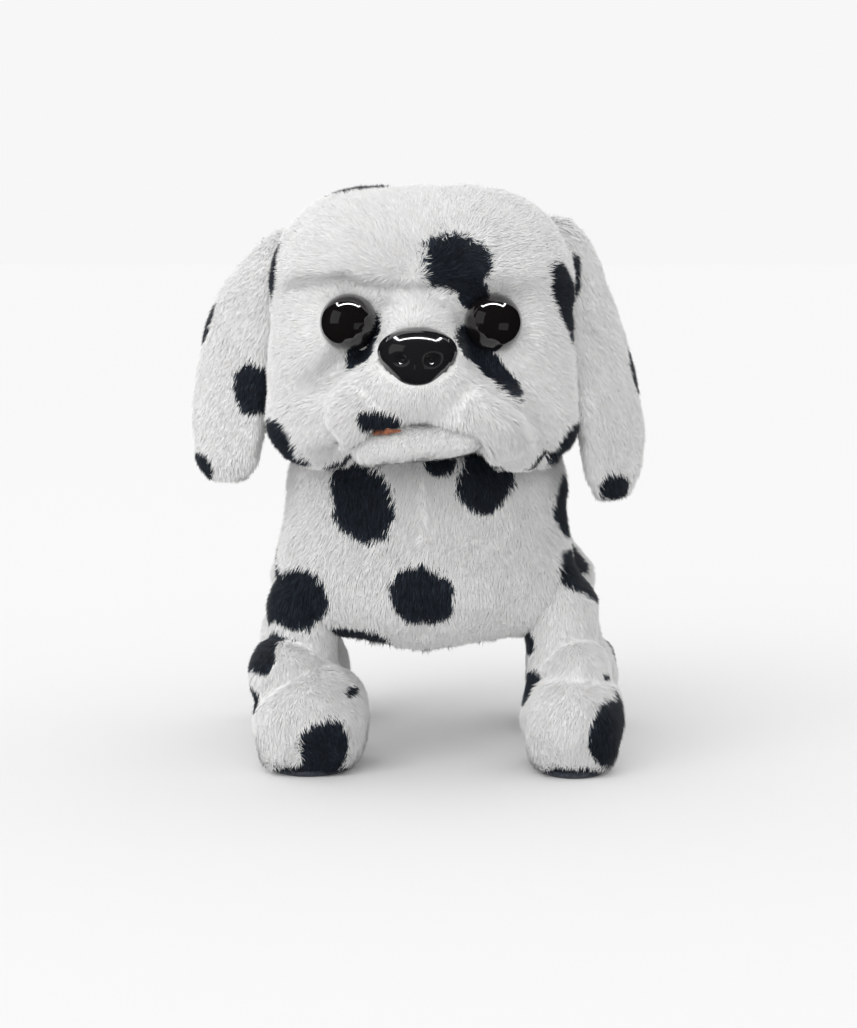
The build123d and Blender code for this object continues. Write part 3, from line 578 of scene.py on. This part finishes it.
def grow_fur(name, skin, comb, spots, attach, density, seed, keep=None, length=PILE, lift=0.38):
    """Grows closed, flattened strands on a skin, in pieces of at most STRAND_LIMIT strands.

    comb gives the way the pile lies at points, density is in strands per square millimetre, keep says which
    points have pile, length is a number or a function of points, and lift is the strands' usual angle from the
    skin in radians.
    """
    points, faces, normals = skin
    rng = np.random.default_rng(seed)
    count = int(face_areas(points, faces).sum() * density)
    place, normal = sample(points, faces, normals, count, rng)
    if keep is not None:
        held = keep(place)
        place, normal = place[held], normal[held]
    count = len(place)
    flow = comb(place)
    for size, amount, kind in CLUMPS:
        for axis in range(3):
            flow[:, axis] += amount * lattice_noise(place, size, kind + axis)
    flow += rng.normal(0, STRAY, (count, 3))
    flow -= (flow * normal).sum(axis=1)[:, None] * normal
    flow /= np.maximum(np.linalg.norm(flow, axis=1)[:, None], 1e-6)
    side = np.cross(flow, normal)
    rise = lift * (1 + 0.35 * lattice_noise(place, 3.4, 41) + rng.normal(0, 0.22, count))
    rise = np.clip(rise, LEAST_RISE, MOST_RISE)[:, None]
    usual = length(place) if callable(length) else length
    reach = (usual * (0.8 + 0.4 * rng.random(count)))[:, None]
    inside = spotted(place, normal, spots)
    inside += rng.normal(0, 0.05, count)
    dark = inside > 0
    edge = np.clip(1 - np.abs(inside) / EDGE, 0, 1)
    reach = reach * (1 - 0.35 * edge * dark)[:, None]       # shorter along a spot's edge
    tip = place + flow * reach * np.cos(rise) + normal * reach * np.sin(rise)
    half = (0.5 * STRAND_WIDTH * (0.7 + 0.6 * rng.random(count)))[:, None]
    base = place - normal * ROOT_DEPTH
    ridge_root = base - flow * 0.1 + normal * 0.24
    corners = np.stack([base + side * half, base - side * half, ridge_root, tip], axis=1)
    dark_tone = (rng.random(count) * 2.3 + edge * rng.random(count) * 2.2).astype(int)
    white_tone = rng.integers(0, len(fur_white), count)
    shade = np.where(dark, len(fur_white) + np.minimum(dark_tone, len(fur_dark) - 1), white_tone)
    parts = max(1, math.ceil(count / STRAND_LIMIT))
    order = np.argsort(place[:, 2], kind="stable")
    for k in range(parts):
        chosen = order[k * count // parts:(k + 1) * count // parts]
        verts = corners[chosen].reshape(-1, 3)
        first = corners.shape[1] * np.arange(len(chosen))
        tris = (STRAND_FACES[None] + first[:, None, None]).reshape(-1, 3)
        slope = np.cross(side[chosen], corners[chosen][:, 3] - base[chosen])
        slope /= np.maximum(np.linalg.norm(slope, axis=1)[:, None], 1e-9)
        slope *= np.sign((slope * normal[chosen]).sum(axis=1))[:, None]
        soft = 0.62 * normal[chosen] + 0.38 * slope
        lean = side[chosen] * 0.35
        shading = np.stack([soft + lean, soft - lean, soft, soft], axis=1).reshape(-1, 3)
        shading /= np.linalg.norm(shading, axis=1)[:, None]
        tag = name if parts == 1 else f"{name}_{k + 1}"
        piece = mesh_object(tag, verts, tris, normals=shading)
        for m in fur_white + fur_dark:
            piece.data.materials.append(m)
        tones = np.repeat(shade[chosen], len(STRAND_FACES))
        piece.data.polygons.foreach_set("material_index", tones.astype(np.int32))
        attach(piece)


def make_skin(name, points, faces, spots, attach, node):
    """The backing that stands for a CAD node, as a piece; returns what grow_fur needs of it."""
    normals = vertex_normals(points, faces)
    piece = mesh_object(name, points, faces)
    shade = piece.data.attributes.new("spot", "FLOAT", "POINT")
    shade.data.foreach_set("value", (spotted(points, normals, spots) > 0).astype(np.float32))
    piece.data.materials.append(backing)
    attach(piece)
    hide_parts(node)
    return points, faces, normals


def ride_on(body):
    return lambda piece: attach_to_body(piece, body)


def blend_between():
    return lambda piece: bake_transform(piece)


# ---- head --------------------------------------------------------------------
FACE_BACK = -52.0       # folds are pressed only into what lies ahead of this
OUT_OF_REACH = 1000.0
# folds pressed into the face, or swellings where the depth is below 0: depth, width, line of (x, z)
FACE_FOLDS = [
    (3.6, 6.5, [(-17, 125), (-23, 120), (-28.5, 113), (-28.5, 105), (-23, 97)]),        # cheeks
    (3.6, 6.5, [(16, 122), (22, 115.5), (30, 109), (35, 102), (35, 95)]),
    (1.8, 3.2, [(-34, 141), (-20, 142.5), (-8, 141), (6, 141.5), (12, 140)]),           # under the brow
    (0.9, 2.2, [(-9, 136.5), (0, 137.3), (9, 136.0)]),                                  # top of the bridge
    (-1.0, 7.0, [(-16, 113), (-19, 105), (-15, 99)]),                                   # jowls
    (-1.0, 7.0, [(17, 112), (24, 105), (26, 98)]),
]
points, net = wrap(head_shape, np.array([0.0, -44.0, 126.0]), 7)
face_on = points * [1, 0, 1] + [0, 1, 0] * np.where(points[:, 1:2] < FACE_BACK, 0, OUT_OF_REACH)
depth = sum(
    amount * ridge(face_on, [(x, 0, z) for x, z in line], width) for amount, width, line in FACE_FOLDS
)
depth += 0.5 * lattice_noise(points, 14, 51) + 0.25 * lattice_noise(points, 6, 52)
points = pressed(points, net, depth)


def comb_head(place):
    """Away from the nose and a little down, and straight away from an eye close to it."""
    away = place - np.array([0.0, -86.0, 128.0])
    away /= np.linalg.norm(away, axis=1)[:, None]
    flow = away + np.array([0.0, 0.0, -0.45])
    from_eye = place - eyes["left"] * np.where(place[:, :1] > 0, 1, [-1, 1, 1])
    from_eye[:, 1] = 0
    distance = np.linalg.norm(from_eye, axis=1)[:, None]
    near = np.clip((EYE_RADIUS + 6.5 - distance) / 5.0, 0, 1)
    return flow * (1 - near) + 1.6 * near * from_eye / np.maximum(distance, 1e-6)


def off_face_parts(place):
    """No pile grows under the eyes, the nose and the mouth's hem."""
    m = both_sides(place)
    across = np.hypot(m[:, 0] - eyes["left"][0], m[:, 2] - eyes["left"][2])
    front = place[:, 1] < -60
    clear_of_nose = egg(place, nose_place, (11.0, 8.6, 8.6)) > 0
    hem = front & (limb(place * [1, 0, 1], (-12, 0, 103.5), (-5.5, 0, 104.0), 1.4, 1.2) < 0)
    return ~(front & (across < EYE_RADIUS - 0.5)) & clear_of_nose & ~hem


def head_pile(place):
    """The pile is cut shorter round the eyes and nose."""
    m = both_sides(place)
    eye = np.linalg.norm(m - eyes["left"], axis=1) - EYE_RADIUS
    nose = egg(place, nose_place, (11.5, 8.7, 8.7))
    return PILE * np.clip(0.4 + np.minimum(eye, nose) / 9, 0.4, 1.0)


skin = make_skin("head_cover", points, net, HEAD_SPOTS, ride_on("head"), "head_plush")
grow_fur("head_fur", skin, comb_head, HEAD_SPOTS, ride_on("head"), 9.0, 2, off_face_parts, head_pile)

# ---- body --------------------------------------------------------------------
points, net = wrap(body_shape, np.array([0.0, 6.0, 68.0]), 7)
depth = 1.4 * ridge(points, [(0.5, -60, 84), (0, -62, 66), (0, -58, 52), (0, -45, 42)], 2.6)   # chest seam
depth += 0.7 * lattice_noise(points, 17, 61) + 0.35 * lattice_noise(points, 7, 62)
points = pressed(points, net, depth)


def comb_body(place):
    """Down the chest, parted at its seam, and back along the flanks."""
    back = np.clip((place[:, 1] + 45) / 30, 0, 1)[:, None]
    flow = np.array([0.0, 0.9, -0.55]) * back + np.array([0.0, 0.0, -1.0]) * (1 - back)
    parting = np.exp(-(place[:, 0] / 2.6) ** 2) * (place[:, 1] < -38) * (place[:, 2] > 60)
    flow[:, 0] += 0.35 * np.sign(place[:, 0]) * parting
    return flow


skin = make_skin("body_cover", points, net, BODY_SPOTS, ride_on("chassis"), "body_plush")
grow_fur("body_fur", skin, comb_body, BODY_SPOTS, ride_on("chassis"), 6.6, 3)

# ---- legs --------------------------------------------------------------------
FLOOR_GAP = 1.0         # of the skin
FUR_GAP = 2.2           # of the roots of the pile


def off_floor(place):
    return place[:, 2] > FUR_GAP


for name, hip in hip_places.items():
    shape, middle = leg_shape(name)
    points, net = wrap(shape, middle, 6, reach=70)
    points = pressed(points, net, 0.5 * lattice_noise(points, 8, 71))
    points[:, 2] = np.maximum(points[:, 2], FLOOR_GAP)
    attach = blend_between()
    spots = LEG_SPOTS[name]

    def comb_leg(place, foot=middle):
        """Down the leg, and outwards over the foot."""
        ahead = np.clip((24 - place[:, 2]) / 14, 0, 1)[:, None]
        away = place - foot
        away[:, 2] = -6
        away /= np.linalg.norm(away, axis=1)[:, None]
        return np.array([0.0, 0.0, -1.0]) * (1 - ahead) + (away * 0.8 + np.array([0, -0.3, -0.5])) * ahead

    skin = make_skin(f"{name}_leg_cover", points, net, spots, attach, f"{name}_leg_plush")
    grow_fur(f"{name}_leg_fur", skin, comb_leg, spots, attach, 7.5, 5, off_floor, 2.7, lift=0.34)

# ---- soles, dark cloth that is also painted contact shadow under the feet ----
SOLE_AROUND = 72        # points round a sole
SOLE_WIDTH, SOLE_LENGTH = 0.74, 15.0                # share of the foot's half width, and half length
# share of the full size, height
SOLE_SECTIONS = [
    (0.25, 0.0), (0.7, 0.0), (0.95, 0.05), (1.0, 0.5), (1.0, 1.4), (0.95, 2.2), (0.6, 2.6), (0.25, 2.7),
]
# the soles' dark cloth is partly a real sole and partly painted contact shadow along the bottom of the feet
sole_and_contact_shadow = material("sole_and_contact_shadow", (0.03, 0.035, 0.045), 0.85, Sheen_Weight=0.2)
two_tone(sole_and_contact_shadow, NOISE, 900, (0.02, 0.025, 0.035), (0.05, 0.055, 0.07))
add_bump(sole_and_contact_shadow, VORONOI, 1100, 0.0002, 0.6)
for name, hip in hip_places.items():
    _, _, foot_x, foot_half = LEGS[name]
    angle = np.linspace(0, 2 * math.pi, SOLE_AROUND, endpoint=False)
    outline = np.stack(
        [np.cos(angle) * foot_half * SOLE_WIDTH, np.sin(angle) * SOLE_LENGTH, np.zeros(SOLE_AROUND)], axis=1
    )
    middle = np.array([foot_x, hip[1] - 6.0, 0.0])
    rings = [middle + outline * size + [0, 0, height] for size, height in SOLE_SECTIONS]
    points = np.vstack([middle[None], *rings, middle[None] + [[0, 0, SOLE_SECTIONS[-1][1]]]])
    patch = mesh_object(f"{name}_sole_and_shadow_patch", points, ring_net(len(rings), SOLE_AROUND))
    patch.data.materials.append(sole_and_contact_shadow)
    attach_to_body(patch, f"{name}_leg")
    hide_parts(f"{name}_sole")

# ---- lower lip ---------------------------------------------------------------
points, net = wrap(jaw_shape, np.array([-1.0, -71.0, 98.6]), 5, reach=40)
skin = make_skin("lower_lip", points, net, [], ride_on("jaw"), "jaw_plush")


def comb_jaw(place):
    return np.tile(np.array([0.0, -0.5, -0.8]), (len(place), 1))


grow_fur("lower_lip_fur", skin, comb_jaw, [], ride_on("jaw"), 10.0, 8, length=1.9, lift=0.3)

# the strip of the mouth's lining that shows at the right corner
hem_ends = np.array([(-11.5, -84.9, 102.6), (-4.8, -85.3, 103.1)])
points, net = wrap(lambda p: limb(p, *hem_ends, 0.9, 0.5), hem_ends.mean(axis=0), 4, reach=8)
hem = mesh_object("lining_hem", points, net)
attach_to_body(hem, "jaw")

# ---- ears --------------------------------------------------------------------
# height, distance out from the middle, depth along Y, half width, half thickness
EAR_SECTIONS = {
    "right": [
        (157.0, 38.5, -36, 4.0, 2.2),
        (154.8, 40.5, -36, 6.5, 3.0),
        (149.3, 44.5, -36.5, 10.0, 3.6),
        (139.0, 50.0, -37.5, 13.5, 4.2),
        (127.0, 53.5, -38, 15.0, 4.6),
        (110.0, 56.3, -38, 15.6, 4.9),
        (97.0, 57.2, -38, 14.5, 4.7),
        (89.5, 57.5, -38, 11.0, 4.0),
        (86.5, 57.8, -38, 6.5, 2.8),
    ],
    "left": [
        (160.5, 37.5, -35, 4.0, 2.2),
        (157.5, 39.5, -35, 7.0, 3.0),
        (150.5, 42.5, -36, 10.5, 3.6),
        (137.0, 46.0, -37, 13.5, 4.2),
        (124.0, 49.5, -38, 15.0, 4.6),
        (108.0, 53.0, -38, 15.6, 4.9),
        (95.0, 54.6, -38, 14.5, 4.7),
        (86.0, 54.8, -38, 11.0, 4.0),
        (81.5, 54.6, -38, 6.5, 2.8),
    ],
}
EAR_TURN = {"right": 48.0, "left": 57.0}     # of an ear's width from the X axis, degrees


def smooth_sections(rows, count):
    """More rows between the given ones, on a smooth curve through them."""
    rows = np.array(rows, float)
    t = np.concatenate([[0], np.cumsum(np.linalg.norm(np.diff(rows[:, :3], axis=0), axis=1))])
    slopes = np.gradient(rows, t, axis=0)
    s = np.linspace(0, t[-1], count)
    k = np.clip(np.searchsorted(t, s, side="right") - 1, 0, len(t) - 2)
    h = (t[k + 1] - t[k])[:, None]
    u = ((s - t[k])[:, None]) / h
    return (
        (2 * u**3 - 3 * u**2 + 1) * rows[k] + (u**3 - 2 * u**2 + u) * h * slopes[k]
        + (-2 * u**3 + 3 * u**2) * rows[k + 1] + (u**3 - u**2) * h * slopes[k + 1]
    )


for side, sign in (("left", 1), ("right", -1)):
    turn = math.radians(EAR_TURN[side]) * sign
    wide = np.array([math.cos(turn), math.sin(turn), 0.0])
    thin = np.array([-math.sin(turn), math.cos(turn), 0.0])
    points, net = loft([
        (np.array([sign * x, y, z]), wide, half_width, thin, half_thin)
        for z, x, y, half_width, half_thin in smooth_sections(EAR_SECTIONS[side], 60)
    ])
    points = pressed(points, net, 0.5 * lattice_noise(points, 11, 81 + sign))
    spots, attach = EAR_SPOTS[side], ride_on(f"{side}_ear")
    skin = make_skin(f"{side}_ear_cover", points, net, spots, attach, f"{side}_ear")

    def comb_ear(place, sign=sign):
        return np.tile(np.array([0.15 * sign, 0.0, -1.0]), (len(place), 1))

    grow_fur(f"{side}_ear_fur", skin, comb_ear, spots, attach, 8.0, 9, length=2.8, lift=0.34)

# ---- tail --------------------------------------------------------------------
# depth along Y, height, radius, tilt of the section in degrees
TAIL_SECTIONS = [
    (62.5, 83.2, 3.6, 0), (65.0, 83.8, 5.6, 2), (70.0, 85.2, 6.6, 8), (76, 87.8, 6.9, 22), (84, 94, 6.6, 40),
    (89.4, 101.4, 5.0, 50), (91.6, 105.0, 2.6, 55),
]
ACROSS = np.array([1.0, 0.0, 0.0])
sections = []
for y, z, radius, tilt in smooth_sections(TAIL_SECTIONS, 36):
    slope = math.radians(tilt)
    up = np.array([0.0, -math.sin(slope), math.cos(slope)])
    sections.append((np.array([0.0, y, z]), ACROSS, radius, up, radius))
points, net = loft(sections, around=40)
skin = make_skin("tail_cover", points, net, TAIL_SPOTS, ride_on("tail"), "tail_plush")


def comb_tail(place):
    return np.tile(np.array([0.0, 0.75, 0.6]), (len(place), 1))


grow_fur("tail_fur", skin, comb_tail, TAIL_SPOTS, ride_on("tail"), 5.0, 12, length=3.4)

# ---- eyes and nose -----------------------------------------------------------
eye_gloss = material("eye_gloss", (0.006, 0.005, 0.005), 0.05, Coat_Weight=1.0, Coat_Roughness=0.03)
uneven_gloss(eye_gloss, 60, 0.04, 0.09)
nose_gloss = material("nose_gloss", (0.010, 0.010, 0.011), 0.1, Coat_Weight=1.0, Coat_Roughness=0.05)
uneven_gloss(nose_gloss, 80, 0.08, 0.16)


def turned(profile, place, name, around=96):
    """A solid turned about an axis along Y; profile is (radius, distance in front of place), end to end."""
    angle = np.linspace(0, 2 * math.pi, around, endpoint=False)
    rings = [
        place + np.stack([radius * np.cos(angle), np.full(around, -ahead), radius * np.sin(angle)], axis=1)
        for radius, ahead in profile[1:-1]
    ]
    first, last = (place + np.array([0.0, -profile[end][1], 0.0]) for end in (0, -1))
    points = np.vstack([first, *rings, last])
    return mesh_object(name, points, outward(points, ring_net(len(rings), around)))


DOME_EDGE = 96          # angle from the front to which an eye is part of a ball, degrees
for side in SIDES:
    profile = [(0, EYE_RADIUS)]
    for angle in np.radians(np.linspace(4, DOME_EDGE, 30)):
        profile.append((EYE_RADIUS * math.sin(angle), EYE_RADIUS * math.cos(angle)))
    rim = EYE_RADIUS * math.sin(math.radians(DOME_EDGE))
    profile += [(rim - 0.25, -1.1), (rim - 0.5, -1.9), (rim - 1.6, -2.6), (0, -2.8)]
    eye = turned(profile, eyes[side], f"{side}_eye_dome")
    eye.data.materials.append(eye_gloss)
    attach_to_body(eye, "head")
    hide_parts(f"{side}_eye")


def nose_shape(p):
    q = p - nose_place
    d = egg(q, (0, 0.3, 1.8), (10.9, 8.4, 6.9))
    d = join(d, egg(q, (0, 0.3, -2.9), (7.6, 7.8, 5.7)), 4.0)
    nostril = both_sides(q)
    d = carve(d, egg(nostril, (4.6, -7.8, 0.2), (1.9, 1.8, 1.1)), 1.4)
    return carve(d, limb(q, (0, -8.6, -1.0), (0, -7.4, -6.5), 0.35, 0.5), 0.6)


points, net = wrap(nose_shape, nose_place + np.array([0, 1.0, 0.5]), 6, reach=20)
nose = mesh_object("nose_pad", points, net)
nose.data.materials.append(nose_gloss)
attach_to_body(nose, "head")
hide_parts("nose")

# ---- finishes of the parts carried over from the CAD --------------------------
shell = material("shell_plastic", (0.72, 0.71, 0.68), 0.5)
add_bump(shell, NOISE, 1500, 0.00008, 0.35)
uneven_gloss(shell, 40, 0.42, 0.58)
frame_plastic = material("frame_plastic", (0.10, 0.11, 0.12), 0.55)
add_bump(frame_plastic, NOISE, 1800, 0.00008, 0.35)
uneven_gloss(frame_plastic, 45, 0.42, 0.6)
gear_plastic = material("gear_plastic", (0.87, 0.85, 0.78), 0.38)
two_tone(gear_plastic, NOISE, 90, (0.80, 0.78, 0.70), (0.90, 0.88, 0.82))
uneven_gloss(gear_plastic, 120, 0.3, 0.45)
door_plastic = material("door_plastic", (0.80, 0.80, 0.79), 0.45)
add_bump(door_plastic, VORONOI, 1400, 0.00006, 0.4)
uneven_gloss(door_plastic, 50, 0.38, 0.52)
steel = material("steel", (0.56, 0.57, 0.58), 0.3, Metallic=1.0)
add_bump(steel, NOISE, 2600, 0.00003, 0.25)
uneven_gloss(steel, 200, 0.2, 0.4)
brass = material("brass", (0.72, 0.53, 0.25), 0.3, Metallic=1.0)
uneven_gloss(brass, 220, 0.22, 0.42)
circuit = material("circuit_resin", (0.03, 0.16, 0.08), 0.35, Coat_Weight=0.4)
two_tone(circuit, VORONOI, 300, (0.02, 0.10, 0.05), (0.04, 0.20, 0.10))
cell = material("cell_jacket", (0.05, 0.12, 0.30), 0.25)
two_tone(cell, NOISE, 60, (0.04, 0.10, 0.26), (0.06, 0.14, 0.34))
uneven_gloss(cell, 90, 0.18, 0.32)
speaker_black = material("speaker_black", (0.02, 0.02, 0.02), 0.7)
add_bump(speaker_black, VORONOI, 1600, 0.00015, 0.7)
core = material("stiffening_core", (0.55, 0.55, 0.52), 0.7)
add_bump(core, NOISE, 900, 0.0002, 0.5)
lining = material("mouth_lining", (0.42, 0.13, 0.05), 0.75, Sheen_Weight=0.4)
two_tone(lining, NOISE, 700, (0.16, 0.045, 0.02), (0.34, 0.11, 0.045))
add_bump(lining, NOISE, 1800, 0.0002, 0.7)
sole = material("sole_fabric", (0.10, 0.11, 0.13), 0.85)
two_tone(sole, NOISE, 900, (0.02, 0.025, 0.035), (0.06, 0.07, 0.09))
add_bump(sole, VORONOI, 1100, 0.0002, 0.6)
hem.data.materials.append(lining)

# the material for each of the record's slots
FINISHES = {
    "shell": shell, "frame_plastic": frame_plastic, "gear_plastic": gear_plastic,
    "door_plastic": door_plastic, "steel": steel, "brass": brass, "circuit": circuit, "cell": cell,
    "speaker_black": speaker_black, "core": core, "mouth_lining": lining, "sole": sole,
    "eye_gloss": eye_gloss, "nose_gloss": nose_gloss, "fur_white": backing, "fur_foot": backing,
}
for piece in [o for o in bpy.context.scene.objects if "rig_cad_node" in o]:
    for place in piece.material_slots:
        given = place.material.name.split(".")[0] if place.material else ""
        if given in FINISHES:
            place.material = FINISHES[given]

# ---- floor, light, camera ----------------------------------------------------
AZIMUTH, ELEVATION = math.radians(2.0), math.radians(6.0)
CAMERA_DISTANCE = 0.745
AIM = Vector((0.0, 0.0, 0.0715))
LENS, SENSOR = 85.0, 36.0       # millimetres
FLOOR_HALF = 60.0
FLOOR_GREY = 0.825
ROOM_LIGHT = 0.93
SKY_POWER, SKY_SPREAD = 1.30, math.radians(60)
SKY_TURN = (math.radians(52), math.radians(-34), 0)
FACE = (0.0, -0.08, 0.13)
TENT_HEIGHT, TENT_HALF, TENT_WIDTH, TENT_BACK = 1.05, 0.60, 0.10, 0.32

floor_mesh = bpy.data.meshes.new("floor")
corners = [(-FLOOR_HALF, -FLOOR_HALF, 0), (FLOOR_HALF, -FLOOR_HALF, 0),
           (FLOOR_HALF, FLOOR_HALF, 0), (-FLOOR_HALF, FLOOR_HALF, 0)]
floor_mesh.from_pydata(corners, [], [(0, 1, 2, 3)])
floor = bpy.data.objects.new("floor", floor_mesh)
bpy.context.scene.collection.objects.link(floor)
paper = material("floor_paper", (FLOOR_GREY, FLOOR_GREY, FLOOR_GREY), 1.0, Specular_IOR_Level=0.0)
floor_mesh.materials.append(paper)
floor.visible_glossy = False

world = bpy.data.worlds.new("studio")
bpy.context.scene.world = world
world.use_nodes = True
world.node_tree.nodes["Background"].inputs["Color"].default_value = (1, 1, 1, 1)
world.node_tree.nodes["Background"].inputs["Strength"].default_value = ROOM_LIGHT
world.cycles_visibility.glossy = False

sun = bpy.data.lights.new("sky_panel", "SUN")
sun.energy = SKY_POWER
sun.angle = SKY_SPREAD
sun.specular_factor = 0.0
sun_holder = bpy.data.objects.new("sky_panel", sun)
sun_holder.rotation_euler = SKY_TURN
sun_holder.visible_glossy = False
bpy.context.scene.collection.objects.link(sun_holder)


def softbox(name, place, target, size_x, size_y, power):
    """A white rectangular lamp at place, facing target; sizes in metres, power in watts."""
    lamp = bpy.data.lights.new(name, "AREA")
    lamp.shape = "RECTANGLE"
    lamp.size, lamp.size_y = size_x, size_y
    lamp.energy = power
    made = bpy.data.objects.new(name, lamp)
    made.location = place
    made.rotation_euler = (Vector(target) - Vector(place)).to_track_quat("-Z", "Y").to_euler()
    bpy.context.scene.collection.objects.link(made)
    return made


softbox("window_left", (-1.10, -0.80, 0.60), FACE, 1.00, 1.10, 1.2)
softbox("table_right", (0.85, -0.95, -0.15), FACE, 0.90, 0.55, 0.4)
# strips overhead that only the glossy eyes and nose mirror
for name, x, y, size_x, size_y, power in (
    ("tent_front", 0.0, -0.22, 2 * TENT_HALF, TENT_WIDTH, 10.0),
    ("tent_left", -TENT_HALF, TENT_BACK, TENT_WIDTH, 1.0, 5.0),
    ("tent_right", TENT_HALF, TENT_BACK, TENT_WIDTH, 1.0, 5.0),
):
    tent = softbox(name, (x, y, TENT_HEIGHT), (x, y, 0.0), size_x, size_y, power)
    tent.visible_diffuse = False

camera_data = bpy.data.cameras.new("camera")
camera_data.lens = LENS
camera_data.sensor_fit = "AUTO"
camera_data.sensor_width = SENSOR
camera = bpy.data.objects.new("camera", camera_data)
level = math.cos(ELEVATION)
back = Vector((math.sin(AZIMUTH) * level, -math.cos(AZIMUTH) * level, math.sin(ELEVATION)))
camera.location = AIM + back * CAMERA_DISTANCE
camera.rotation_euler = (-back).to_track_quat("-Z", "Y").to_euler()
bpy.context.scene.collection.objects.link(camera)
bpy.context.scene.camera = camera
bpy.context.scene.view_settings.view_transform = "Standard"
